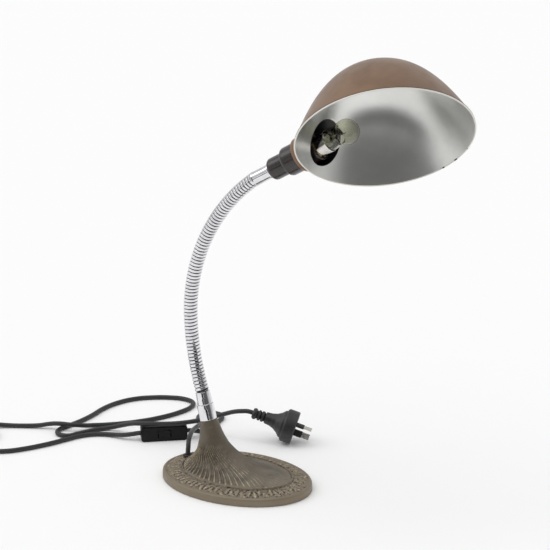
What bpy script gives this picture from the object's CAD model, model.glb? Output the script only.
# %% [markdown]
# # A gooseneck desk lamp, dressed
# The frame gives every rigid piece in its place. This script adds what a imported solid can't show: the rough
# cast foot with its leaf border, the wound chrome neck, the spun shade, the clear bulb, and the flex.
# Shapes are worked out in millimetres in the same frame as the part, and become metres where a mesh is made.
# The studio comes first, then the finishes, and then the pieces from the table up.

import math

import bmesh
import bpy
import numpy as np
from mathutils import Matrix, Vector, noise


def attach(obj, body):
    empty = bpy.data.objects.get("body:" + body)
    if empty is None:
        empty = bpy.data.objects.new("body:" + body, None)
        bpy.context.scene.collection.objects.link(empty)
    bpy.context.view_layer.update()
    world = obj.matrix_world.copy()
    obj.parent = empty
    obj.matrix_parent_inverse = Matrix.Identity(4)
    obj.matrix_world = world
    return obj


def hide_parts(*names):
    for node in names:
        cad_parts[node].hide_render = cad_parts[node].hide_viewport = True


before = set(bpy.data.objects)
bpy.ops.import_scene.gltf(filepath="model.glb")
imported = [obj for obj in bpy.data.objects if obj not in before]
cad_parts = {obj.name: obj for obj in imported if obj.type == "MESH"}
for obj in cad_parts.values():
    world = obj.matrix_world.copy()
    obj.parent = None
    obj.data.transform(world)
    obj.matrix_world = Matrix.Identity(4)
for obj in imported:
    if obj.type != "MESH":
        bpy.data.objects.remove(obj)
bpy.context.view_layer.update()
MM = 0.001
print("nodes in the frame:", len(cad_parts))

# %% [markdown]
# ## Driving dimensions
# They repeat the part's own values, so that each piece lands on the solid that it dresses. A ruler over the
# finished mesh would give them too, but then nobody could see what drives what.

# %% Driving dimensions, in millimetres and degrees
BASE_LEN, BASE_WID, RIM_H, BORDER_W, FELT_PROUD = 166.0, 121.0, 8.4, 20.0, 0.3
FLUTES, FLUTE_DEPTH = 56, 0.9
COLUMN_Z, COLUMN_BACK, COLUMN_R, STEM_LEAN = 61.3, 34.8, 8.8, 13.6
NECK_COUNT, TURNS, TURN_PITCH, COIL_R = 14, 5, 3.6285, 7.15
NECK_START, BEND_LOW, BEND_HIGH, LOW_LEN, NECK_YAW = 107.5, 0.208, 0.313, 81.5, 5.0
HEAD_ANGLE, FERRULE_LEN, HOLDER_R, HOLDER_CAP_R = 30.0, 20.6, 14.7, 11.3
SHADE_R, SHADE_H, SHEET, SHADE_DROP, SHADE_ROLL, SHADE_MID = 85.0, 74.5, 0.9, 27.5, 35.0, 133.7
GLOBE_R, GLOBE_Z, CAP_LOW, CAP_HIGH = 12.9, 91.8, 48.0, 71.2
FLEX_R = 2.5
SWITCH_LEN, SWITCH_H, SWITCH_AT, SWITCH_TURN, SWITCH_CLEAR = 50.0, 16.5, (-134.0, 57.5), 42.0, 0.2
PLUG_R, PLUG_TURN, PLUG_DIP, PLUG_BACK = 18.0, 24.0, 18.0, 49.0


def sin(degrees):
    return math.sin(math.radians(degrees))


def cos(degrees):
    return math.cos(math.radians(degrees))


def turn(degrees, axis):
    return Matrix.Rotation(math.radians(degrees), 4, axis)


def move(x, y, z):
    return Matrix.Translation((x, y, z))


# %% [markdown]
# ## Frames of the leaning pieces
# The column leans back, the neck bends by a formula of its length, and the head hangs on its end. Each piece
# is drawn upright and then carried to its place by one matrix. Parented empties would do the same, but a
# finished piece has to sit unturned at the origin, with its place in its mesh.

# %% Frames of the pieces that don't stand upright
SEG_LEN = TURNS * TURN_PITCH
SLEEVE_TOP = 30.8
HOLDER_START = FERRULE_LEN + 2.8
STEM = move(-COLUMN_BACK, 0, COLUMN_Z) @ turn(-STEM_LEAN, "Y")


def neck_angle(s):
    return NECK_START - BEND_LOW * min(s, LOW_LEN) - BEND_HIGH * max(0, s - LOW_LEN)


def neck_way(tilt):
    """The way the neck runs where it stands at this angle above the horizontal."""
    return Vector((cos(tilt) * cos(NECK_YAW), cos(tilt) * sin(NECK_YAW), sin(tilt)))


def joint_point(k):
    """Where neck joint k lies; joint 0 is at the top of the lower ferrule."""
    if k == 0:
        return STEM @ Vector((0, 0, SLEEVE_TOP))
    tilt = neck_angle((k - 0.5) * SEG_LEN)
    return joint_point(k - 1) + SEG_LEN * neck_way(tilt)


HEAD = Matrix.Translation(joint_point(NECK_COUNT)) @ turn(NECK_YAW, "Z") @ turn(90 - HEAD_ANGLE, "Y")
HOLDER = HEAD @ move(0, 0, HOLDER_START)
SHADE = HOLDER @ turn(-SHADE_ROLL, "Z")
DOME = SHADE @ move(SHADE_DROP, 0, SHADE_MID) @ turn(-90, "Y")
SWITCH_MID = (*SWITCH_AT, SWITCH_H / 2 + SWITCH_CLEAR)
PLUG_POINT = Vector((-8, 124, PLUG_R * cos(PLUG_DIP) + 0.02))
PLUG_AXIS = Vector((cos(PLUG_TURN) * cos(PLUG_DIP), sin(PLUG_TURN) * cos(PLUG_DIP), -sin(PLUG_DIP)))
print("top of the neck, mm:", [round(v, 1) for v in joint_point(NECK_COUNT)])

# %% [markdown]
# ## Camera
# The camera stands two metres off with a long lens, as for a catalogue, so that the foot and the shade keep
# their proportions. A short lens close by would fill the frame as well, but it would swell whatever is near.

# %% Camera
VIEW_AZIMUTH, VIEW_ELEVATION, VIEW_DISTANCE = 33.0, 16.5, 2.0
VIEW_TARGET = Vector((0.0466, 0, 0.2285))
LENS, SENSOR = 133.4, 36.0


def linked(name, data):
    """An object with this data, put in the scene."""
    obj = bpy.data.objects.new(name, data)
    bpy.context.scene.collection.objects.link(obj)
    return obj


def back_from_target(azimuth, elevation):
    """The direction from what the camera looks at to a place round it."""
    return Vector((sin(azimuth) * cos(elevation), -cos(azimuth) * cos(elevation), sin(elevation)))


camera_data = bpy.data.cameras.new("camera")
camera_data.lens, camera_data.sensor_width = LENS, SENSOR
camera = linked("camera", camera_data)
camera.location = VIEW_TARGET + VIEW_DISTANCE * back_from_target(VIEW_AZIMUTH, VIEW_ELEVATION)
camera.rotation_euler = (VIEW_TARGET - camera.location).to_track_quat("-Z", "Y").to_euler()
bpy.context.scene.camera = camera
bpy.context.scene.view_settings.view_transform = "Standard"
print("camera at, m:", [round(v, 2) for v in camera.location])

# %% [markdown]
# ## Finishes as expressions
# An old finish is never one flat colour: it is patchy, and it shines more where it is rubbed. So each finish
# here is a few noises of different sizes. They could be wired by hand in the node editor. Written as
# expressions they stay short and can share their parts: a Field is one socket, a Look is one material.


# %% Finishes as expressions
def paint(red, green, blue):
    """A colour given as it looks on a screen, 0 to 255, in the linear values that a shader takes."""
    def linear(v):
        v /= 255
        return v / 12.92 if v <= 0.04045 else ((v + 0.055) / 1.055) ** 2.4
    return (linear(red), linear(green), linear(blue), 1)


# %% A field, the output of a node
class Field:
    """One output of a node. Arithmetic on it adds a math node to the same material."""

    def __init__(self, look, socket):
        self.look, self.socket = look, socket

    def math(self, operation, *others):
        inputs = dict(enumerate((self,) + others))
        return self.look.node("Math", inputs, operation=operation)

    def __add__(self, other):
        return self.math("ADD", other)

    def __mul__(self, other):
        return self.math("MULTIPLY", other)

    __radd__, __rmul__ = __add__, __mul__

    def ramp(self, low, high, start=0.0, end=1.0):
        """start below low, end above high, and a smooth run between them."""
        inputs = {"Value": self, "From Min": low, "From Max": high, "To Min": start, "To Max": end}
        return self.look.node("MapRange", inputs, interpolation_type="SMOOTHSTEP")


# %% A look, a material that is being wired
class Look:
    """A material and short ways to add the nodes that drive it."""

    def __init__(self, name, **surface):
        self.material = bpy.data.materials.new(name)
        self.material.use_nodes = True
        self.tree = self.material.node_tree
        self.surface = self.tree.nodes["Principled BSDF"]
        for key, value in surface.items():
            self.set(key.replace("_", " ").title().replace("Ior", "IOR"), value)

    def set(self, socket, value):
        self.put(self.surface.inputs[socket], value)

    def put(self, socket, value):
        if isinstance(value, Field):
            self.tree.links.new(value.socket, socket)
        else:
            socket.default_value = value

    def node(self, kind, inputs, output=0, **settings):
        made = self.tree.nodes.new("ShaderNode" + kind)
        for key, value in settings.items():
            setattr(made, key, value)
        for key, value in inputs.items():
            self.put(made.inputs[key], value)
        return Field(self, made.outputs[output])

    def place(self):
        """The point on the piece, in metres."""
        return self.node("TexCoord", {}, "Object")

    def noise(self, scale, detail=4.0, rough=0.55, distortion=0.0):
        inputs = {"Vector": self.place(), "Scale": scale, "Detail": detail, "Roughness": rough,
                  "Distortion": distortion}
        return self.node("TexNoise", inputs)

    def painted(self, name):
        """A value painted on the piece's points."""
        return self.node("Attribute", {}, "Fac", attribute_name=name)

    def mix(self, factor, low, high):
        return self.node("Mix", {0: factor, 6: low, 7: high}, 2, data_type="RGBA")

    def colour(self, mask, low, high):
        """Base colour that runs from low to high with the mask."""
        self.set("Base Color", self.mix(mask, low, high))

    def haze(self, cloud, low, high):
        """Roughness that runs from low to high over the middle of a noise."""
        self.set("Roughness", cloud.ramp(0.3, 0.7, low, high))

    def bump(self, height, distance, strength=1.0):
        """Height from 0 to 1 as relief of this depth in millimetres."""
        inputs = {"Height": height, "Distance": distance * MM, "Strength": strength}
        self.set("Normal", self.node("Bump", inputs))


# %% [markdown]
# ## Floor, world and lights
# The lamp stands on white paper in a bright room. Chrome is a mirror, so it shows the studio and no colour of
# its own: here the room behind the camera is dim, and the paper ends short of the camera's feet. That draws
# the dark stripe down the neck and the collars. Black cards could do it too, but they would shade the table.
# So the world looks different to shiny rays, and the sheet past the paper is hidden from the camera and from
# the light that falls on matt things.

# %% Floor
FLOOR_TONE, BACKDROP_TONE = 0.94, 0.945
WORLD_LIGHT, SKY_IN_CHROME, SKY_IN_GLASS = 0.86, 0.86, 0.9
ROOM_TONE, ROOM_EDGES = 0.14, (0.22, 0.62)     # the dim room behind the camera, as cosines from its middle
ROOM_ASIDE, ROOM_UP = 2.0, 10.0
COLUMN_AT = -0.04
FLOOR = [(-30, -30, 0), (30, -30, 0), (30, 30, 0), (-30, 30, 0)]
DARK_FLOOR = [(0.72, -1.3, 0.001), (0.72, 1.3, 0.001), (6, 8, 0.001), (6, -8, 0.001)]


def stage_sheet(name, corners, look):
    """A flat sheet of the studio, which isn't part of the object."""
    mesh = bpy.data.meshes.new(name)
    mesh.from_pydata(corners, [], [tuple(range(len(corners)))])
    mesh.materials.append(look.material)
    obj = linked(name, mesh)
    return obj


def before_camera(ahead, aside, height):
    """A place measured from the column towards the camera and to its right, in metres."""
    way = back_from_target(VIEW_AZIMUTH, 0)
    return Vector((COLUMN_AT, 0, height)) + ahead * way + aside * Vector((-way.y, way.x, 0))


floor_look = Look("floor_paper", base_color=(FLOOR_TONE,) * 3 + (1,), roughness=0.9, specular_ior_level=0.0)
stage_sheet("floor", FLOOR, floor_look)
dark_look = Look("dark_floor", base_color=(0.02, 0.02, 0.022, 1), roughness=0.9, specular_ior_level=0.0)
# where the white paper ends, short of the camera's feet
dark_floor = stage_sheet("dark_floor", [before_camera(*p) for p in DARK_FLOOR], dark_look)
dark_floor.visible_camera = False
dark_floor.visible_diffuse = False
print("white paper ends, metres ahead of the column:", DARK_FLOOR[0][0])


# %% World
SKIES = (("Is Glossy Ray", SKY_IN_CHROME), ("Is Transmission Ray", SKY_IN_GLASS),
         ("Is Camera Ray", BACKDROP_TONE))


def room_in_chrome(tree):
    """Tone that metal sees: bright paper all round, but for the dim room behind the camera."""
    away = tree.nodes.new("ShaderNodeTexCoord").outputs["Generated"]
    nearness = tree.nodes.new("ShaderNodeVectorMath")
    nearness.operation = "DOT_PRODUCT"
    nearness.inputs[1].default_value = back_from_target(VIEW_AZIMUTH + ROOM_ASIDE, ROOM_UP)
    tree.links.new(away, nearness.inputs[0])
    tone = tree.nodes.new("ShaderNodeMapRange")
    tone.inputs["From Min"].default_value, tone.inputs["From Max"].default_value = ROOM_EDGES
    tone.inputs["To Min"].default_value, tone.inputs["To Max"].default_value = SKY_IN_CHROME, ROOM_TONE
    tree.links.new(nearness.outputs["Value"], tone.inputs["Value"])
    return tone.outputs["Result"]


def make_world():
    """One even light, but for what shiny rays, clear rays and the camera see of it."""
    world = bpy.data.worlds.new("studio")
    bpy.context.scene.world = world
    world.use_nodes = True
    tree = world.node_tree
    tree.nodes.clear()
    out = tree.nodes.new("ShaderNodeOutputWorld")
    path = tree.nodes.new("ShaderNodeLightPath")
    last = tree.nodes.new("ShaderNodeBackground")
    last.inputs["Strength"].default_value = WORLD_LIGHT
    for ray, tone in SKIES:
        seen = tree.nodes.new("ShaderNodeBackground")
        seen.inputs["Strength"].default_value = tone
        if ray == "Is Glossy Ray":
            tree.links.new(room_in_chrome(tree), seen.inputs["Strength"])
        mixer = tree.nodes.new("ShaderNodeMixShader")
        tree.links.new(path.outputs[ray], mixer.inputs[0])
        tree.links.new(last.outputs[0], mixer.inputs[1])
        tree.links.new(seen.outputs[0], mixer.inputs[2])
        last = mixer
    tree.links.new(last.outputs[0], out.inputs["Surface"])


make_world()


# %% Lights
def sun(name, strength, azimuth, elevation, angle):
    """A far light from this side of the lamp, as wide as a window of this angle."""
    data = bpy.data.lights.new(name, "SUN")
    data.energy, data.angle = strength, math.radians(angle)
    way = -back_from_target(azimuth, elevation)
    linked(name, data).rotation_euler = way.to_track_quat("-Z", "Y").to_euler()


sun("overhead_light", 0.85, 10, 72, 60)
sun("window_light", 0.45, 300, 40, 40)
print("lights:", [light.name for light in bpy.data.lights])

# %% [markdown]
# ## How a piece is made
# Most of this lamp is turned on a lathe or spun over a former, so most pieces are one outline turned about an
# axis. bmesh has an operator for that, and the Screw modifier could do it as well, but the operator gives
# the mesh at once and its first and last column can be merged. Sharp corners are rounded in the outline
# first: real metal catches a line of light there, and without it a turned piece looks like paper.


# %% How a piece is made
ON_AXIS = 0.01
GUARD = 0.12


def new_piece(name, points, faces, looks, body, slot, nodes=(), sharp=40.0, tags=None):
    """A piece from points in millimetres and faces."""
    mesh = bpy.data.meshes.new(name)
    mesh.from_pydata([Vector(p) * MM for p in points], [], faces)
    return dress(mesh, looks, body, slot, nodes, sharp, tags)


def dress(mesh, looks, body, slot, nodes=(), sharp=40.0, tags=None):
    """The mesh as a piece that rides on a body, with its looks, and in place of its CAD nodes."""
    for look in looks if not mesh.materials else ():
        mesh.materials.append(look.material)
    if tags is not None:
        mesh.polygons.foreach_set("material_index", tags)
    mesh.shade_smooth()
    mesh.set_sharp_from_angle(angle=math.radians(sharp))
    obj = linked(mesh.name, mesh)
    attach(obj, body)
    if nodes:
        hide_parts(*nodes)
    return obj


# %% Pieces turned about an axis
def rounded(outline, radius, steps=4):
    """The outline with each corner turned into a small arc, but for the corners on its axis."""
    points = [Vector(p) for p in outline]
    made = []
    for i, corner in enumerate(points):
        if corner.x < ON_AXIS:
            made.append(corner)
            continue
        before, after = points[i - 1], points[(i + 1) % len(points)]
        cut_in = min(radius, (before - corner).length * 0.45)
        cut_out = min(radius, (after - corner).length * 0.45)
        start = corner + (before - corner).normalized() * cut_in
        end = corner + (after - corner).normalized() * cut_out
        for n in range(steps + 1):
            t = n / steps
            made.append(start * (1 - t) ** 2 + corner * 2 * t * (1 - t) + end * t ** 2)
    return made


def turned_mesh(name, outline, place, sectors=96):
    """A mesh turned about the Z axis of the frame named place, from an outline of (radius, height)."""
    bm = bmesh.new()
    verts = [bm.verts.new((r, 0, z)) for r, z in outline]
    edges = [bm.edges.new(pair) for pair in zip(verts, verts[1:])]
    if not (outline[0][0] < ON_AXIS and outline[-1][0] < ON_AXIS):
        edges.append(bm.edges.new((verts[-1], verts[0])))
    bmesh.ops.spin(bm, geom=verts + edges, cent=(0, 0, 0), axis=(0, 0, 1), angle=math.tau, steps=sectors,
                   use_merge=True)
    bmesh.ops.remove_doubles(bm, verts=bm.verts, dist=1e-4)
    bmesh.ops.recalc_face_normals(bm, faces=bm.faces)
    mesh = bpy.data.meshes.new(name)
    bm.to_mesh(mesh)
    bm.free()
    mesh.transform(Matrix.Scale(MM, 4) @ place)
    return mesh


def guarded(outline):
    """The outline with a point near each end of its long straights, which keeps their shading straight."""
    made = []
    for i, start in enumerate(outline):
        made.append(start)
        end = outline[(i + 1) % len(outline)]
        way = end - start
        if way.length > 12 * GUARD:
            made += [start + way.normalized() * GUARD, end - way.normalized() * GUARD]
    return made


def turned(name, outline, place, look, body, slot, nodes=(), radius=0.35, sectors=96):
    """A turned piece. A radius of 0 leaves the outline as it is."""
    mesh = turned_mesh(name, guarded(rounded(outline, radius)) if radius else outline, place, sectors)
    return dress(mesh, [look], body, slot, nodes)


# %% [markdown]
# ## Flex
# Two lengths of round flex: from the foot to the inline switch, and from the switch to the plug. A rope could
# be dropped by simulation, but it would never fall twice in the same loops. So the way it lies is a list of
# points chosen by hand, the part's own, with one smooth curve through them. The spare length isn't in the
# list: a loop winds it into a coil, three turns side by side and a part of one on top that leads out.

# %% Flex
flex_look = Look("flex", roughness=0.46)
flex_look.colour(flex_look.noise(60, 3), paint(34, 34, 35), paint(46, 46, 47))
flex_look.bump(flex_look.noise(900, 3), 0.08, 0.5)

HOLE_AT = (-67.67, 9.07)
GROMMET_TOP = RIM_H + 4.4
END_IN = SWITCH_LEN / 2 - 3
switch_dir = Vector((cos(SWITCH_TURN), sin(SWITCH_TURN), 0))
switch_mid = Vector(SWITCH_MID)
lead_route = [
    (*HOLE_AT, 4.5), (*HOLE_AT, GROMMET_TOP + 1), (-68.4, 10.8, 19.8), (-70.9, 15.3, 24.6),
    (-74.6, 22.5, 26.6), (-84, 40, 25), (-94, 59, 20), (-105, 80, 13.4), (-114, 98, 8.2),
    (-124.5, 110.4, 4.4), (-134, 121.8, 2.6), (-139.2, 133.7, 2.6), (-134.7, 144.7, 2.6),
    (-124.2, 148.2, 2.6), (-115.2, 141.7, 2.6), (-111.7, 129.7, 2.6), (-108.5, 115.8, 2.6),
    (-105, 102.4, 2.6), (-102.5, 90, 4.4), (-107.2, 81.8, 7),
    tuple(switch_mid + (END_IN + 5.5) * switch_dir), tuple(switch_mid + END_IN * switch_dir)]
mid_route = [
    tuple(switch_mid - END_IN * switch_dir), tuple(switch_mid - (END_IN + 5.5) * switch_dir),
    (-160.5, 35.6, 7.2), (-168, 33, 5.6), (-180, 32, 3.6), (-194, 28, 2.6), (-204, 21, 2.6), (-212, 10, 2.6),
    (-217, -3, 2.6), (-222, -18, 2.6), (-229, -35, 2.6), (-238, -52, 2.6), (-249, -67, 2.6), (-264, -77, 2.6),
    (-281, -82.5, 2.7), (-298, -85.4, 2.9)]
plug_route = [
    (-319.6, -23, 6.7), (-307.6, -14.5, 4), (-295, -6, 2.7), (-283, 1, 2.6), (-268, 9, 3.6),
    (-255, 14.5, 6.4), (-243, 16.8, 8.1), (-232.5, 20, 8.1), (-226, 26, 7), (-222, 34, 4.9),
    (-219, 42, 3.3), (-211, 51, 2.6), (-198, 64, 2.6), (-184, 82, 2.6), (-172, 104, 2.6),
    (-164, 130, 2.6), (-163, 148, 2.6), (-169, 162, 2.6), (-184, 167, 2.6), (-202, 162, 2.6),
    (-219, 151, 2.6), (-232, 137, 2.6), (-240, 119, 2.6), (-243, 94, 2.6), (-240, 66, 2.6),
    (-240, 42, 2.6), (-242, 26, 2.6), (-243, 14, 2.6), (-238.5, 4.5, 2.6), (-230, 1, 2.6),
    (-222, 4.5, 2.6), (-218.5, 13, 2.6), (-214, 23, 2.6), (-209.5, 33, 2.6), (-204, 42, 2.6),
    (-195, 47, 4.6), (-183, 47.4, 9), (-168, 44, 15), (-155, 41, 18.9), (-145, 44, 19.7),
    (-131, 53, 19.5), (-117, 65, 19.6), (-107, 78, 19.8), (-101, 87, 20.4), (-93, 94, 22.6),
    (-82, 98, 26.8), (-70.5, 99.3, 31.2), (-62, 100.9, 33.1),
    tuple(PLUG_POINT - (PLUG_BACK + 4) * PLUG_AXIS), tuple(PLUG_POINT - (PLUG_BACK - 4.5) * PLUG_AXIS)]

# %% The coil, as turns from its start, radius and height
COIL_AT, COIL_START, COIL_TURNS = (-314.0, -56.0), -90.0, 3.4
COIL_TRACK = [(0, 30, 3), (0.78, 30, 3), (0.98, 25, 3), (1.78, 25, 3), (1.98, 20, 3), (2.72, 20, 3),
              (2.98, 22.5, 7.3), (3.12, 23.2, 7.5), (3.4, 30, 8)]


def coil_place(turns):
    """Radius and height of the coil after this many turns."""
    counts, radii, heights = zip(*COIL_TRACK)
    return float(np.interp(turns, counts, radii)), float(np.interp(turns, counts, heights))


def coil_points(per_turn=16):
    """The coil's middle line, wound from its start."""
    points = []
    for n in range(int(COIL_TURNS * per_turn) + 1):
        radius, height = coil_place(n / per_turn)
        way = COIL_START - 360 * n / per_turn
        points.append((COIL_AT[0] + radius * cos(way), COIL_AT[1] + radius * sin(way), height))
    return points


long_route = mid_route + coil_points() + plug_route
print("points on the flex:", len(lead_route), "and", len(long_route))


# %% Two lengths of flex
def smooth_cord(name, route, *nodes):
    """A round flex on one smooth curve through the route's points."""
    data = bpy.data.curves.new(name, "CURVE")
    data.dimensions, data.resolution_u = "3D", 8
    data.bevel_depth, data.bevel_resolution, data.use_fill_caps = FLEX_R * MM, 5, True
    data.materials.append(flex_look.material)
    spline = data.splines.new("BEZIER")
    spline.bezier_points.add(len(route) - 1)
    for point, place in zip(spline.bezier_points, route):
        point.co = Vector(place) * MM
        point.handle_left_type = point.handle_right_type = "AUTO"
    obj = linked(name, data)
    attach(obj, "base")
    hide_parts(*nodes)
    return obj


lead = smooth_cord("flex_to_switch", lead_route, "lead_cord")
long = smooth_cord("flex_to_plug", long_route, "mid_cord", "cord_coil", "long_cord")

# %% [markdown]
# ### The coil's tie
# A soft rubber band is drawn round the turns at one place. A band under tension takes the shape of a string
# pulled round pegs, so its outline is the furthest that any turn reaches in each direction, which gives the
# straights between the turns for nothing.

# %% The coil's tie
BAND_AFTER = 3.153      # turns from the coil's start
BAND_EDGES = [(0.04, -2.3), (0.3, -2.5), (0.48, -2.2), (0.48, 2.2), (0.3, 2.5), (0.04, 2.3)]


def band_outline(grow):
    """The shape that a band takes round the turns, as (radius, height)."""
    cores = [coil_place(turns) for turns in (0, 1, 2)] + [coil_place(BAND_AFTER)]
    outline = []
    for a in range(0, 360, 10):
        way = (cos(a), sin(a))
        core = max(cores, key=lambda c: c[0] * way[0] + c[1] * way[1])
        outline.append((core[0] + (FLEX_R + grow) * way[0], core[1] + (FLEX_R + grow) * way[1]))
    return outline


# %% [markdown]
# ## Chrome
# Collars and neck are plated bright. Plating has next to no colour and very little haze, so what it shows is
# the room, and a noise in its roughness would only look like dirt. The grooves between the turns of the neck
# are another matter: polish never reaches them and grease does, so they get a dull dark finish of their own.

# %% Chrome
chrome = Look("chrome", metallic=1.0)
chrome.colour(chrome.noise(140, 5).ramp(0.4, 0.75), (0.80, 0.80, 0.83, 1), (0.66, 0.65, 0.67, 1))
chrome.set("Roughness", 0.07)

chrome_groove = Look("chrome_groove", metallic=0.6, roughness=0.45)
chrome_groove.colour(chrome_groove.noise(160, 4), paint(26, 24, 22), paint(56, 53, 50))

# %% [markdown]
# ## Cast metal of the foot
# The foot is rough cast metal under dark bronze paint, rubbed bright on what stands proud and dull in the
# hollows. A noise alone would put the bright spots anywhere. The shape knows where they belong, so two values
# are painted on the points of the casting when it is made, proud and deep, and the finish only reads them.
# Height above the table shades the border, the plate and the column apart.

# %% Cast metal
cast = Look("cast_metal")
cast_patches = cast.noise(26, 6, 0.6, 0.6)
cast_grain = cast.noise(420, 5, 0.65)
cast_proud = cast.painted("proud").ramp(0.28, 0.85) * cast_grain.ramp(0.3, 0.6)
cast_deep = cast.painted("deep").ramp(0.1, 0.75)
cast_height = cast.node("SeparateXYZ", {"Vector": cast.place()}, "Z")

cast_tone = cast.mix(cast_patches.ramp(0.35, 0.68), paint(92, 84, 73), paint(112, 102, 87))
cast_tone = cast.mix(cast.noise(48, 5, 0.6, 0.4).ramp(0.52, 0.72), cast_tone, paint(104, 103, 90))
cast_tone = cast.mix(cast_height.ramp(0.009, 0.016, 0.8, 0.0), cast_tone, paint(129, 117, 98))
cast_tone = cast.mix(cast_height.ramp(0.016, 0.04, 0.0, 0.6), cast_tone, paint(84, 74, 60))
cast_tone = cast.mix(cast_proud, cast_tone, paint(190, 176, 150))
cast.colour(cast_deep, cast_tone, paint(52, 46, 40))
cast.set("Metallic", cast_proud.ramp(0.0, 1.0, 0.2, 0.6))
cast.haze(cast_patches, 0.5, 0.36)
cast.bump(cast_grain * 0.7 + cast.noise(1500, 3, 0.6) * 0.3, 0.34, 0.55)

# %% [markdown]
# ## Dark moulding of the lampholder
# Old lampholders are pressed from a brown resin with a filler in it. It is glossy, nearly black, and clouded
# with red brown. The cloud is one broad noise, and the same noise makes it a little duller where it is paler.

# %% Dark moulding
moulding = Look("dark_moulding", coat_weight=0.4, coat_roughness=0.08)
moulding_cloud = moulding.noise(55, 5, 0.6, 1.2)
moulding.colour(moulding_cloud.ramp(0.35, 0.7), paint(26, 20, 20), paint(44, 32, 30))
moulding.haze(moulding_cloud, 0.2, 0.34)
moulding.bump(moulding.noise(900, 4), 0.04, 0.4)

# %% [markdown]
# ## Plain finishes
# Switch, plug, rubber, pins and the inner metal parts each have two close tones, a roughness that varies a
# little and sometimes a fine grain. They differ only in numbers, so one function makes them all. Copying one
# material and changing it by hand would work too, until the first one has to change.


# %% Plain finishes
def plain_look(name, low, high, patch, haze=(), grain=(), **surface):
    """A finish of two close tones.

    patch is the scale and detail of the noise between them, haze the scale and detail of the roughness with
    its two ends, and grain the scale, depth and strength of the bump.
    """
    look = Look(name, **surface)
    look.colour(look.noise(*patch), low, high)
    if haze:
        look.haze(look.noise(*haze[:2]), *haze[2:])
    if grain:
        look.bump(look.noise(grain[0], 3), *grain[1:])
    return look


switch_black = plain_look("switch_black", paint(8, 8, 9), paint(16, 16, 17), (90, 4), (70, 4, 0.34, 0.5),
                          (1600, 0.05, 0.6), specular_ior_level=0.22)
plug_grey = plain_look("plug_grey", paint(36, 36, 37), paint(48, 48, 49), (90, 4), (80, 4, 0.36, 0.5),
                       (1500, 0.06, 0.6))
rubber = plain_look("rubber", paint(24, 24, 24), paint(40, 39, 38), (120, 4), grain=(1400, 0.05, 0.5),
                    roughness=0.6)
pin_metal = plain_look("pin_metal", (0.52, 0.50, 0.45, 1), (0.70, 0.68, 0.63, 1), (200, 4),
                       (300, 4, 0.2, 0.42), metallic=0.95)
brass = plain_look("brass", (0.56, 0.42, 0.20, 1), (0.72, 0.58, 0.32, 1), (150, 4), (220, 4, 0.22, 0.42),
                   metallic=1.0)
steel = plain_look("steel", (0.42, 0.42, 0.42, 1), (0.62, 0.62, 0.61, 1), (180, 4), (240, 4, 0.25, 0.45),
                   metallic=1.0)
ceramic = plain_look("ceramic", paint(205, 198, 182), paint(228, 223, 210), (110, 4), (150, 4, 0.25, 0.45))
bulb_metal = plain_look("bulb_brass", (0.62, 0.60, 0.56, 1), (0.78, 0.76, 0.72, 1), (170, 4),
                        (260, 4, 0.12, 0.3), metallic=1.0)
black_glass = plain_look("black_glass", paint(14, 14, 18), paint(26, 26, 32), (200, 3), roughness=0.15)
solder = plain_look("solder", (0.42, 0.42, 0.42, 1), (0.60, 0.60, 0.58, 1), (400, 3), (500, 3, 0.25, 0.5),
                    metallic=0.9)
tungsten = plain_look("tungsten", paint(60, 58, 56), paint(92, 90, 88), (500, 3), metallic=0.8, roughness=0.4)
cup_dark = plain_look("cup_inside", paint(18, 17, 17), paint(32, 30, 29), (90, 4), roughness=0.4)

# %% [markdown]
# ## Felt and glass
# Felt scatters light off its hairs, so it has sheen and a coarse bump in place of a gloss. Glass gets its
# look from what passes through it: full transmission, the index of bulb glass, and walls with a real
# thickness, since a solid ball would turn the filament upside down.

# %% Felt and glass
felt = Look("felt", roughness=0.95, sheen_weight=0.3)
felt.colour(felt.noise(500, 5), paint(34, 46, 36), paint(52, 66, 52))
felt.bump(felt.noise(1800, 4, 0.7), 0.3, 0.8)

clear_glass = Look("clear_glass", base_color=(0.82, 0.82, 0.72, 1), transmission_weight=1.0, ior=1.46)
clear_glass.set("Roughness", clear_glass.noise(120, 4).ramp(0.45, 0.8, 0.0, 0.05))

# %% [markdown]
# ## Paints of the shade
# Outside, the shade has a satin brown paint with a little metal in it. Inside it is silvered, to throw the
# light down, and that works as a blurred mirror: an even roughness blurs the whole bowl alike, while a noise
# in it would draw worms on the reflections. The rolled rim was painted cream, and has lost chips of it. A
# noise gives every rim its small ones, and three larger ones are spheres at chosen places.

# %% Paints of the shade
shade_brown = Look("shade_paint_outside", metallic=0.2, coat_weight=0.2, coat_roughness=0.25)
brown_patches = shade_brown.noise(18, 6, 0.6, 0.5).ramp(0.35, 0.7)
shade_brown.colour(brown_patches, paint(114, 85, 61), paint(130, 100, 73))
shade_brown.haze(shade_brown.noise(60, 5), 0.34, 0.44)
shade_brown.bump(shade_brown.noise(1100, 3), 0.03, 0.5)

shade_silver = Look("shade_paint_inside", metallic=0.94)
silver_cloud = shade_silver.noise(22, 5, 0.6, 0.4)
shade_silver.colour(silver_cloud.ramp(0.3, 0.7), paint(222, 222, 219), paint(234, 234, 231))
shade_silver.set("Roughness", 0.3)

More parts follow.
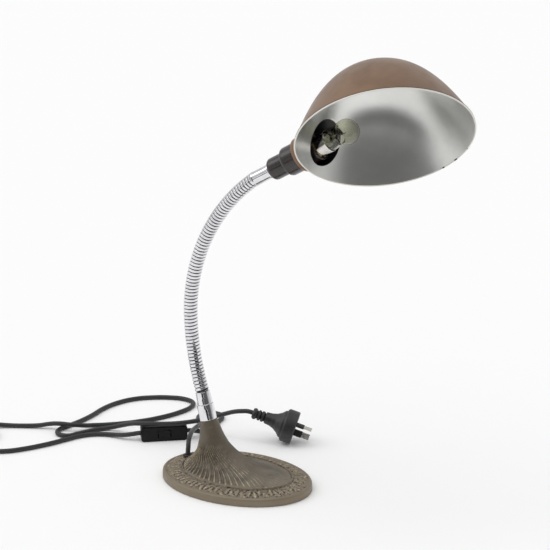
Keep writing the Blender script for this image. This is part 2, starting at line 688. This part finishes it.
# %% Rim of the shade, with its chips as (place, radius) in millimetres
RIM_CHIPS = [((205.1, 72.9, 350.7), 1.9), ((191.4, 74.2, 340.8), 1.3), ((220, 67.3, 364.6), 0.8)]
CHIP_EDGE = 0.7
rim_cream = Look("shade_rim")
rim_chips = rim_cream.noise(900, 2).ramp(0.2, 0.9, -0.3, 0.3)
for chip, size in RIM_CHIPS:
    inputs = {0: rim_cream.place(), 1: Vector(chip) * MM}
    apart = rim_cream.node("VectorMath", inputs, "Value", operation="DISTANCE")
    rim_chips = rim_chips + apart.ramp(size * MM, (size + CHIP_EDGE) * MM, 1.0, 0.0)
rim_tone = rim_cream.mix(rim_cream.noise(60, 4), paint(214, 209, 200), paint(232, 229, 221))
rim_cream.colour(rim_chips.ramp(0.55, 0.7), rim_tone, paint(48, 42, 38))
rim_cream.haze(rim_cream.noise(100, 4), 0.3, 0.45)
print("chips on the rim:", len(RIM_CHIPS))

# %% [markdown]
# ## Solids that keep their shape
# Screws, springs, contacts, the switch and the plug are right as the part has them, so they only get their
# finish. Modelling them again would add nothing but a chance to be wrong.

# %% Solids that keep their shape
CARRIED_OVER = {
    "base_felt": felt, "cord_grommet": rubber, "stem_nipple": brass, "stem_washer": steel, "stem_nut": brass,
    "holder_insert": ceramic, "contact_plungers": brass, "plunger_springs": steel, "bayonet_sleeve": brass,
    "shade_ring": moulding, "bulb_insulator": black_glass, "bulb_contacts": solder, "bulb_pins": brass,
    "bulb_stem": clear_glass, "bulb_filament": tungsten, "switch_shell_front": switch_black,
    "switch_shell_back": switch_black, "switch_screws": steel, "switch_contacts": tungsten,
    "switch_rocker": switch_black, "plug_body": plug_grey, "plug_strain_relief": plug_grey,
    "plug_pins": pin_metal, "plug_pin_sleeves": rubber}


def wear(node, look):
    """The finish on a solid of the frame, in place of what it came with."""
    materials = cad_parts[node].data.materials
    materials.clear()
    materials.append(look.material)


for carried, carried_look in CARRIED_OVER.items():
    wear(carried, carried_look)
print("solids that keep their shape:", len(CARRIED_OVER))


# %% The tie, drawn round the coil
def closed_grid_faces(rows, columns):
    """Quads of a grid whose rows and columns both close on themselves."""
    j, i = np.meshgrid(np.arange(rows), np.arange(columns), indexing="ij")
    nj, ni = (j + 1) % rows, (i + 1) % columns
    corners = (j * columns + i, j * columns + ni, nj * columns + ni, nj * columns + i)
    return np.stack(corners, -1).reshape(-1, 4)


def build_band():
    """The tie as a closed band: out on one side, in on the other, and a rounded edge between."""
    place = move(*COIL_AT, 0) @ turn(COIL_START - 360 * BAND_AFTER, "Z")
    points = [place @ Vector((r, y, z)) for grow, y in BAND_EDGES for r, z in band_outline(grow)]
    return points, closed_grid_faces(len(BAND_EDGES), len(points) // len(BAND_EDGES)).tolist()


new_piece("coil_band", *build_band(), [rubber], "base", "rubber", ["coil_tie"])

# %% [markdown]
# ## Foot
# The foot is one casting: a flat oval rim with a leaf border, a bead, and a fluted column that leans back as
# it rises. Sculpting would give the wear but not the rhythm of the flutes. A spin can't turn an oval that
# leans. So the casting is one grid of rings, each an ellipse with its own middle, height and lean, up the
# rim, over the border and the bead, up the column and down again inside. Relief is worked out on the grid
# and pushed out square to the surface. The same relief tells the finish what stands proud.

# %% Rings of the foot
HALF_A, HALF_B = BASE_LEN / 2, BASE_WID / 2
BEAD_A, BEAD_B, BEAD_Z = HALF_A - BORDER_W - 1, HALF_B - BORDER_W + 1, RIM_H + 3.9
FOOT_SECTORS, BORDER_ROWS, BEAD_ROWS, FLARE_ROWS = 720, 34, 8, 62
FLARE_SPACING = 1.35    # draws the column's rings together near the bead
FOOT_TURN = np.linspace(0, math.tau, FOOT_SECTORS, endpoint=False)
BORDER_IN, BORDER_OUT_A, BORDER_OUT_B = 4.1, BORDER_W - 0.5, BORDER_W - 2.5
RIM_PROFILE = [         # how far in from the edge, and how high
    (6.4, FELT_PROUD), (5.9, FELT_PROUD), (0.7, FELT_PROUD), (0.25, 0.6), (0.05, 1.1), (0, 2), (0.02, 3.5),
    (0.1, 5), (0.25, RIM_H - 1.9), (0.55, RIM_H - 0.9), (1.0, RIM_H - 0.3), (1.6, RIM_H),
    (2.2, RIM_H + 0.35), (2.8, RIM_H + 0.5), (3.3, RIM_H + 0.3), (3.7, RIM_H - 0.15),
    (BORDER_IN, RIM_H - 0.3)]
UNDERSIDE_ROWS = 3


def flare(k, top, foot, slope, power):
    """A radius of the column, from top at k = 0 to foot at k = 1: nearly straight, then a sudden spread."""
    return top + slope * k + (foot - top - slope) * k ** power


def flare_ring(s):
    """Half length, half width, middle, height and lean of a ring, from s = 0 at the bead to 1 at the top."""
    k = 1 - s
    middle = -COLUMN_BACK + 12 * k + (COLUMN_BACK - 12) * k ** 5
    return (flare(k, COLUMN_R, BEAD_A - 1.2, 12, 4.2), flare(k, COLUMN_R, BEAD_B - 1.2, 9, 10),
            middle, (BEAD_Z - 0.3) * k + COLUMN_Z * s, STEM_LEAN * s)


def foot_rings():
    """The rings of the plate and those of the column, outside."""
    rows = [(inset, inset, height) for inset, height in RIM_PROFILE]
    for n in range(1, BORDER_ROWS + 1):
        u = n / BORDER_ROWS
        rows.append((BORDER_IN + u * (BORDER_OUT_A - BORDER_IN), BORDER_IN + u * (BORDER_OUT_B - BORDER_IN),
                     RIM_H - 0.1 + u * (BEAD_Z - 1.4 - RIM_H)))
    for n in range(1, BEAD_ROWS + 1):
        u = n / BEAD_ROWS
        rows.append((BORDER_OUT_A + 2.4 * u, BORDER_OUT_B + 2.4 * u,
                     BEAD_Z - 1.4 + 1.7 * sin(180 * u) + 0.7 * u))
    plate = np.array([(HALF_A - i, HALF_B - j, 0, z, 0) for i, j, z in rows])
    steps = range(1, FLARE_ROWS + 1)
    return plate, np.array([flare_ring((n / FLARE_ROWS) ** FLARE_SPACING) for n in steps])


# %% Shapes that the relief is made of
LEAF_REPEATS = 34
LEAF_LEAN, LEAF_LEN, LEAF_WID = 0.62, 0.52, 0.30


def smooth(low, high, v):
    """0 below low, 1 above high, and a soft step between."""
    t = np.clip((v - low) / (high - low), 0, 1)
    return t * t * (3 - 2 * t)


def hump(distance, width):
    """A rounded ridge of height 1 and this half width."""
    return np.sqrt(np.clip(1 - (distance / width) ** 2, 0, 1))


def leaf_relief(around, across):
    """A running leaf border. around counts repeats, across runs from 0 at the rim to 1 at the bead."""
    index = np.floor(around)
    x, y = around - index - 0.5, across - 0.5
    side = np.where(index % 2 == 0, 1.0, -1.0)
    vine = hump(y - 0.17 * np.sin(np.pi * around), 0.07) * 0.55
    root = (y - 0.16 * side) * side
    lx = (x * np.cos(LEAF_LEAN) + root * np.sin(LEAF_LEAN)) / LEAF_LEN
    ly = (-x * np.sin(LEAF_LEAN) + root * np.cos(LEAF_LEAN)) / (LEAF_WID * (1.05 - 0.45 * lx))
    lobes = 1 + 0.16 * np.cos(11 * lx)
    blade = np.sqrt(np.clip(1 - lx ** 2 - (ly / lobes) ** 2, 0, 1))
    veins = 0.22 * np.abs(np.sin(9 * (lx + 0.5 * np.abs(ly)))) + 0.3 * hump(ly, 0.12)
    leaves = blade * (0.85 - 0.25 * veins)
    bx, by = np.abs(x) - 0.5, y + 0.3 * side
    berries = 0.8 * np.sqrt(np.clip(1 - (bx ** 2 + (by * 0.8) ** 2) / 0.012, 0, 1))
    return np.maximum(np.maximum(vine, leaves), berries)


def rough_noise(points, size, seed):
    """Smooth noise on an array of points, about -1 to 1, with lumps of this size in millimetres."""
    flat = points.reshape(-1, 3) / size + seed
    return np.array([noise.noise(p) for p in flat]).reshape(points.shape[:-1])


# %% [markdown]
# ### Relief of the border and the flutes
# Real castings are never even: leaves are worn and a little out of place, each flute has its own depth and
# wanders, and on one side the flutes are nearly gone. Each of these is a slow noise that moves or scales a
# regular pattern. The leaves are measured along the edge and not by angle, so that they are all one size.

# %% Relief on the border and the column
WORN_TOWARDS = 15     # the side on which the flutes are nearly worn away
BORDER_FROM = len(RIM_PROFILE)


def add_border(relief, place):
    """The leaf border, worn and strayed, and the beads between it and the flutes."""
    ends = np.append(FOOT_TURN, math.tau)
    edge = np.hypot(np.diff(HALF_A * np.cos(ends)), np.diff(HALF_B * np.sin(ends)))
    along = (np.cumsum(edge) - edge[0]) / edge.sum() * 2 * LEAF_REPEATS
    across = np.linspace(0, 1, BORDER_ROWS)[:, None]
    rows = slice(BORDER_FROM, BORDER_FROM + BORDER_ROWS)
    border = place[rows]
    worn = 0.72 + 0.5 * rough_noise(border, 9, 3)
    stray_along, stray_across = 0.3 * rough_noise(border, 8, 31), 0.16 * rough_noise(border, 6, 41)
    relief[rows] = 1.4 * worn * leaf_relief(along[None, :] + stray_along, across + stray_across)
    relief[rows] += 0.42 * rough_noise(border, 1.7, 51)
    bead = slice(BORDER_FROM + BORDER_ROWS, BORDER_FROM + BORDER_ROWS + BEAD_ROWS)
    rise = np.sin(np.linspace(0, math.pi, BEAD_ROWS))[:, None]
    relief[bead] += 0.3 * np.abs(np.sin(along * 2.1)) * rise
    relief[bead] += 0.5 * rough_noise(place[bead], 3.0, 61)


def flute_relief(place):
    """The flutes of the column: each one wanders a little and has its own depth."""
    count = len(place)
    s = ((np.arange(1, count + 1) / count) ** FLARE_SPACING)[:, None]
    drift = 0.09 * rough_noise(place, 26, 11)
    turns = (FOOT_TURN[None, :] / math.tau + drift / FLUTES * 3) * FLUTES
    own = np.array([noise.noise((i * 1.7, 0.3, 5)) for i in range(FLUTES)])
    own = own[np.floor(turns).astype(int) % FLUTES]
    depth = FLUTE_DEPTH * (1.0 + 0.75 * own)
    fade = smooth(0.0, 0.02, s) * (1 - smooth(0.3, 0.66, s + 0.1 * own))
    worn_side = 0.5 + 0.5 * np.cos(FOOT_TURN - math.radians(WORN_TOWARDS))
    fade *= 1 - 0.8 * smooth(0.45, 0.85, worn_side)[None, :]
    ridge = 1 - np.abs(np.sin(math.pi * turns))
    return depth * fade * (1.5 * ridge ** 3 - 0.3)


# %% Grid of the casting's outside
def pushed_out(place, relief):
    """The points moved out along the surface by their relief, and straight down on the underside."""
    step_t = np.roll(place, -1, axis=1) - np.roll(place, 1, axis=1)
    step_s = np.gradient(place, axis=0)
    out = np.cross(step_t, step_s)
    out /= np.maximum(np.linalg.norm(out, axis=-1, keepdims=True), 1e-9)
    out[:UNDERSIDE_ROWS] = (0, 0, -1)
    return place + out * relief[..., None]


def ring_points(rings):
    """The points of rings that are given as half length, half width, middle, height and lean."""
    rx, ry, mid, high, lean = (np.array(rings)[:, i, None] for i in range(5))
    flat_x, flat_y = rx * np.cos(FOOT_TURN), ry * np.sin(FOOT_TURN)
    tilt = np.radians(lean)
    return np.stack([mid + flat_x * np.cos(tilt), flat_y, high + flat_x * np.sin(tilt)], axis=-1)


def build_foot():
    """Places of the casting's outside, the relief on it, and how many of its rings are on the plate."""
    plate, flares = foot_rings()
    place = ring_points(np.vstack([plate, flares]))
    relief = np.zeros(place.shape[:2])
    add_border(relief, place)
    relief[len(plate):] = flute_relief(place[len(plate):])
    lumps = 0.14 * rough_noise(place[BORDER_FROM:], 3.2, 7) + 0.3 * rough_noise(place[BORDER_FROM:], 11, 23)
    relief[BORDER_FROM:] += lumps
    return pushed_out(place, relief), relief, len(plate)


def blurred(values, reach):
    """The grid averaged over a few neighbours both ways."""
    total = values.copy()
    for n in range(1, reach + 1):
        total += np.roll(values, n, axis=1) + np.roll(values, -n, axis=1)
    total /= 2 * reach + 1
    padded = np.pad(total, ((reach, reach), (0, 0)), mode="edge")
    return sum(padded[n:n + len(values)] for n in range(2 * reach + 1)) / (2 * reach + 1)


# %% What the casting's finish needs to know
RUBBED_TOWARDS = 258  # the side on which the crests are rubbed brightest
foot_place, foot_relief, plate_rows = build_foot()
foot_proud = np.clip((foot_relief - blurred(foot_relief, 4)) / 0.42 + 0.1, 0, 1)
rubbed = 0.55 + 0.45 * np.cos(FOOT_TURN - math.radians(RUBBED_TOWARDS))
foot_proud[plate_rows:] = np.clip(2.3 * rubbed * (foot_proud[plate_rows:] - 0.15), 0, 1)
foot_proud[:plate_rows] *= 0.8
foot_deep = np.clip((blurred(foot_relief, 5) - foot_relief) / 0.5, 0, 1)

# %% Inside of the casting: the bore, the nut's seat, and under the plate back to the felt
STEM_BORE = ((5.2, 0), (5.2, -25), (8.4, -25), (11, -33))
inner_rings = [flare_ring(1)]
inner_rings += [(r, r, -COLUMN_BACK - w * sin(STEM_LEAN), COLUMN_Z + w * cos(STEM_LEAN), STEM_LEAN)
                for r, w in STEM_BORE]
inner_rings += [(30, 13, -13, 19, 4), (58, 38, 0, 7.5, 0), (HALF_A - 6.6, HALF_B - 6.6, 0, 5.2, 0),
                (HALF_A - 6.4, HALF_B - 6.4, 0, FELT_PROUD, 0)]
foot_rows = np.concatenate([foot_place, ring_points(inner_rings)])
pad = np.zeros((len(inner_rings), FOOT_SECTORS))
foot = new_piece("foot_casting", foot_rows.reshape(-1, 3).tolist(),
                 closed_grid_faces(len(foot_rows), FOOT_SECTORS).tolist(), [cast], "base", "cast_metal",
                 ["base_casting"], sharp=60)
for title, grid in (("proud", foot_proud), ("deep", foot_deep)):
    layer = foot.data.attributes.new(title, "FLOAT", "POINT")
    layer.data.foreach_set("value", np.concatenate([grid, pad]).ravel().astype(np.float32))
print("rings of the foot:", len(foot_rows), "and its relief, mm:", round(float(np.ptp(foot_relief)), 2))

# %% [markdown]
# ## Neck
# Chrome strip is wound in one long helix from ferrule to ferrule, its rounded edges side by side with a dark
# groove between. One curve with a bevel would give that look, but it couldn't bend, and a screw modifier
# can't follow a curved line. So each of the neck's bodies carries its own five turns, built point by point:
# the strip's section is carried round and along one smooth line, and no joint shows while the neck is at
# rest. A liner under the strip shows dark between the turns. Close to each edge the section has a few extra
# points, so that the shading of the round edge doesn't spread over the flat.

# %% Line of the neck
NECK_LEN = NECK_COUNT * SEG_LEN
LINE_STEP = 0.5
NECK_ACROSS = Vector((-sin(NECK_YAW), cos(NECK_YAW), 0))


def neck_line():
    """Points along the neck at even steps, brought onto the part's last joint."""
    points = [joint_point(0)]
    for n in range(int(NECK_LEN / LINE_STEP) + 14):
        points.append(points[-1] + LINE_STEP * neck_way(neck_angle((n + 0.5) * LINE_STEP)))
    reach = int(round(NECK_LEN / LINE_STEP))
    miss = joint_point(NECK_COUNT) - points[reach]
    return [p + miss * min(1, n / reach) for n, p in enumerate(points)]


LINE = neck_line()


def neck_frame(s):
    """Point of the neck's line at a length s from its start, and the direction square to it in its plane."""
    n = min(max(s / LINE_STEP, 0), len(LINE) - 2)
    i = int(n)
    point = LINE[i].lerp(LINE[i + 1], n - i)
    if s < 0:
        point = LINE[0] + (LINE[1] - LINE[0]).normalized() * s
    return point, neck_way(neck_angle(s) - 90)


def neck_point(s, r, t):
    """A point at length s along the neck, r off its line, at t radians round it."""
    point, side = neck_frame(s)
    return point + r * (math.cos(t) * side + math.sin(t) * NECK_ACROSS)


# %% Turns of the neck
STRIP = [(5.7, -1.36), (6.45, -1.44), (6.85, -1.38), (7.08, -1.18), (7.14, -1.06),
         (COIL_R, -0.98), (COIL_R, -0.86)]
STRIP += [(r, -off) for r, off in reversed(STRIP)]
AROUND = 40
LINER_OUT, LINER_IN, LINER_AROUND, LINER_RUNS = 6.25, 5.3, 36, 8
LINER_ROWS = [(LINER_OUT, n) for n in range(LINER_RUNS + 1)]
LINER_ROWS += [(LINER_IN, n) for n in range(LINER_RUNS, -1, -1)]


def build_turns(k):
    """The turns of body k: the wound strip, and the liner that shows dark between them."""
    start = (k - 1) * SEG_LEN
    lowest = 0 if k == 1 else -math.inf
    highest = NECK_LEN if k == NECK_COUNT else math.inf
    steps, width = TURNS * AROUND, len(STRIP)
    points, faces = [], []
    for n in range(steps + 1):
        s = start + TURN_PITCH * n / AROUND
        t = math.tau * n / AROUND
        points += [neck_point(min(max(s + off, lowest), highest), r, t) for r, off in STRIP]
    for n in range(steps):
        for a in range(n * width, (n + 1) * width - 1):
            faces.append((a, a + 1, a + width + 1, a + width))
    faces += [tuple(range(width - 1, -1, -1)), tuple(steps * width + m for m in range(width))]
    tags = [0] * len(faces)
    first = len(points)
    for r, n in LINER_ROWS:
        near = min(max(start + (-1.0 + (SEG_LEN + 2.0) * n / LINER_RUNS), 0), NECK_LEN)
        points += [neck_point(near, r, math.tau * i / LINER_AROUND) for i in range(LINER_AROUND)]
    liner = closed_grid_faces(len(LINER_ROWS), LINER_AROUND).tolist()
    faces += [tuple(first + v for v in face) for face in liner]
    return points, faces, tags + [1] * len(liner)


for k in range(1, NECK_COUNT + 1):
    points, faces, tags = build_turns(k)
    new_piece(f"neck_turns_{k:02d}", points, faces, [chrome, chrome_groove], f"neck_{k:02d}", "chrome",
              [f"neck_segment_{k:02d}"], sharp=50, tags=tags)

# %% [markdown]
# ## Ferrules and lampholder
# Collars and holder were turned or moulded round one axis, so each is an outline of radius and height that
# is spun round the stem's, the head's or the holder's own axis. A lathe of this kind beats stacked cylinders
# because one outline holds the step, the taper and the wall together. The edges are rounded in the outline.

# %% Ferrules
COLLAR_TOP = 16.6
turned("lower_collar", [(5.3, 0.05), (8.9, 0.05), (8.75, 12), (8.6, COLLAR_TOP), (5.3, COLLAR_TOP)],
       STEM, chrome, "base", "chrome", ["ferrule_collar"], radius=0.5)
turned("lower_sleeve", [(5.3, COLLAR_TOP + 0.1), (8.05, COLLAR_TOP + 0.1), (7.7, 23), (7.5, SLEEVE_TOP - 0.9),
                        (5.9, SLEEVE_TOP - 0.9), (5.3, SLEEVE_TOP - 4)],
       STEM, chrome, "base", "chrome", ["ferrule_sleeve"], radius=0.4)
turned("upper_sleeve", [(5.2, 0.3), (7.45, 0.3), (7.45, 1.6), (7.2, 2.2), (7.2, FERRULE_LEN),
                        (5.2, FERRULE_LEN)],
       HEAD, chrome, "lampholder", "chrome", ["upper_ferrule"], radius=0.3)
turned("upper_flange", [(5.2, FERRULE_LEN + 0.05), (7.6, FERRULE_LEN + 0.05), (8.3, FERRULE_LEN + 0.8),
                        (8.3, HOLDER_START - 0.6), (7.9, HOLDER_START - 0.05), (5.2, HOLDER_START - 0.05)],
       HEAD, chrome, "lampholder", "chrome", ["ferrule_flange"], radius=0.3)
print("the neck starts on the stem at, mm:", SLEEVE_TOP)

# %% Lampholder
CAP_LEN, BODY_END, NOSE_R, NOSE_END = 18.4, 35.6, 13.9, 58.6
CAP_LIP = CAP_LEN - 0.05
turned("holder_cap_moulding", [(5.2, 0), (9.2, 0), (10.6, 0.8), (HOLDER_CAP_R, 2.6), (HOLDER_CAP_R, CAP_LIP),
                               (9.3, CAP_LIP), (9.3, 2.8), (5.2, 2.8)],
       HOLDER, moulding, "lampholder", "bakelite", ["holder_cap"], radius=0.9)
turned("holder_body_moulding", [(8.7, 12), (9.25, 12), (9.25, CAP_LEN), (12.2, CAP_LEN),
                                (13.9, CAP_LEN + 0.9), (HOLDER_R, CAP_LEN + 3), (HOLDER_R, BODY_END),
                                (NOSE_R, BODY_END), (NOSE_R, NOSE_END), (12.75, NOSE_END), (12.75, 25),
                                (8.7, 25)],
       HOLDER, moulding, "lampholder", "bakelite", ["holder_body"], radius=0.8)
print("holder, mm long:", NOSE_END)

# %% [markdown]
# ## Shade
# The shade is spun sheet: a deep dome, with a narrow cup sunk through its side that grips the holder. Spin a
# section with a real wall, and light can't leak through it. The cup lies along another axis than the dome,
# so where the two meet can't be drawn in either outline. An exact boolean finds it: the dome is cut by what
# the cup holds, and the cup by what the dome holds, so that it stops at the dome's inner face. Before the
# cut, each face gets brown, silver or dark by the side of the wall on which it lies, and the cut keeps that.

# %% Outline of the dome
DOME_SQUARE = 2.6     # 2 would be an ellipse, more is squarer


def dome_r(t, wall):
    """The radius of the dome at a depth t behind its opening, for a wall that far inside the outer face."""
    return (SHADE_R - wall) * (1 - min(1, t / (SHADE_H - wall))) ** (1 / DOME_SQUARE)


def dome_outline(wall, count):
    """From the opening to the crown, with the points closer together where the curve is tight."""
    depths = [(SHADE_H - wall) * (1 - (1 - n / count) ** 2) for n in range(count + 1)]
    return [(dome_r(depth, wall), depth) for depth in depths]


def cut_away(mesh, cutter_mesh):
    """The mesh less what the cutter fills."""
    body, cutter = linked("body", mesh), linked("cutter", cutter_mesh)
    cut = body.modifiers.new("cut", "BOOLEAN")
    cut.operation, cut.solver, cut.object = "DIFFERENCE", "EXACT", cutter
    bpy.context.view_layer.update()
    made = bpy.data.meshes.new_from_object(body.evaluated_get(bpy.context.evaluated_depsgraph_get()))
    for obj in (body, cutter):
        bpy.data.objects.remove(obj)
    return made


# %% Sides of the sheet
CUP_OUT = [(15.9, BODY_END + 0.1), (16.8, BODY_END + 0.5), (17.2, BODY_END + 1.3), (17.4, 42),
           (20.6, 58), (21.3, 92)]
CUP_IN = [(r - 0.8, z + 0.9 if z < 40 else z) for r, z in CUP_OUT]
DOME_COUNT, DOME_SECTORS, CUP_SECTORS = 72, 256, 128
SHADE_LOOKS = [shade_brown, shade_silver, cup_dark]


def tag_faces(mesh, rule):
    """Gives the mesh the shade's three finishes, and every face the one that the rule says."""
    for look in SHADE_LOOKS:
        mesh.materials.append(look.material)
    mesh.polygons.foreach_set("material_index", [rule(polygon) for polygon in mesh.polygons])


def dome_side(polygon):
    """1 for the silver side of the dome, 0 for its brown side."""
    p = DOME.inverted() @ (polygon.center / MM)
    return int(math.hypot(p.x, p.y) < dome_r(max(p.z, 0), SHEET / 2))


def cup_side(polygon):
    """0 for the brown side of the cup and its lip, 2 for its dark inside."""
    p = SHADE.inverted() @ (polygon.center / MM)
    middle = np.interp(p.z, [z for _, z in CUP_OUT], [r for r, _ in CUP_OUT]) - 0.4
    return 0 if math.hypot(p.x, p.y) > middle or p.z < BODY_END + 0.3 else 2


# %% Dome of the shade
dome_wall = dome_outline(0, DOME_COUNT)[::-1] + dome_outline(SHEET, DOME_COUNT)
dome_shell = turned_mesh("shade_dome", dome_wall, DOME, DOME_SECTORS)
tag_faces(dome_shell, dome_side)
cup_hole = turned_mesh("cup_hole", [(0, 30)] + CUP_IN + [(0, 92)], SHADE, CUP_SECTORS)
dome_mesh = cut_away(dome_shell, cup_hole)
dome_mesh.name = "shade_dome"
dress(dome_mesh, SHADE_LOOKS, "shade", "shade_paint", ["shade"], sharp=50)
print("faces of the dome:", len(dome_mesh.polygons))

# %% Cup of the shade
cup_wall = CUP_OUT + CUP_IN[::-1][:-1] + [(NOSE_R + 0.1, BODY_END + 1), (NOSE_R + 0.1, BODY_END + 0.1)]
cup_shell = turned_mesh("shade_cup", cup_wall, SHADE, CUP_SECTORS)
tag_faces(cup_shell, cup_side)
inside_outline = [(0, -6), (SHADE_R - 0.6, -6)] + dome_outline(0.6, DOME_COUNT)
cup_mesh = cut_away(cup_shell, turned_mesh("inner_dome", inside_outline, DOME, DOME_SECTORS))
cup_mesh.name = "shade_cup"
dress(cup_mesh, SHADE_LOOKS, "shade", "shade_paint", sharp=50)
print("faces of the cup:", len(cup_mesh.polygons))

# %% Rolled rim and its seam
rim_outline = [(SHADE_R - 0.3 + 0.75 * cos(a), 0.1 + 0.75 * sin(a)) for a in range(0, 360, 24)]
turned("shade_rim", rim_outline, DOME, rim_cream, "shade", "shade_paint", radius=0, sectors=DOME_SECTORS)
seam_outline = [(SHADE_R - 0.02 + 0.42 * cos(a), 0.95 + 0.42 * sin(a)) for a in range(0, 360, 36)]
turned("rim_seam", seam_outline, DOME, cup_dark, "shade", "shade_paint", radius=0, sectors=DOME_SECTORS)

# %% [markdown]
# ## Bulb
# A clear round bulb in a bayonet cap. Two spheres would do for the ball, but the neck, the ball and the
# wall's inner face have to run into each other, and glass shows every step. So one outline goes up the
# outside, over the top and down inside, and it is spun once. The cap is turned sheet in the same way, and the
# filament on its supports is already among the solids.

# %% Bulb
GLASS_WALL = 0.7
turned("bulb_cap_shell", [(9.85, CAP_LOW + 0.3), (10.4, CAP_LOW), (11, CAP_LOW + 1.2), (11, CAP_HIGH),
                          (10.5, CAP_HIGH), (10.5, CAP_LOW + 3.1), (9.85, CAP_LOW + 3)],
       HOLDER, bulb_metal, "bulb", "bulb_brass", ["bulb_cap"], radius=0.3)
NECK_OF_GLASS = [(10.2, 0), (10.1, 2.5), (9.4, 6), (9.0, 9), (9.1, 11.6)]


def glass_outline(wall):
    """Neck and ball of the glass, from the cap to the top, for a face that far inside the outer one."""
    neck = [(r - wall, z + CAP_HIGH + 0.05) for r, z in NECK_OF_GLASS]
    around = range(-42, 90, 4)
    globe = [((GLOBE_R - wall) * cos(a), GLOBE_Z + (GLOBE_R - wall) * sin(a)) for a in around]
    return neck + globe + [(0, GLOBE_Z + GLOBE_R - wall)]


glass_wall = glass_outline(0) + glass_outline(GLASS_WALL)[::-1]
turned("bulb_globe", [(10.2, CAP_HIGH - 3)] + glass_wall + [(9.5, CAP_HIGH - 3)],
       HOLDER, clear_glass, "bulb", "clear_glass", ["bulb_glass"], radius=0)
print("ball of the bulb, mm across:", 2 * GLOBE_R)
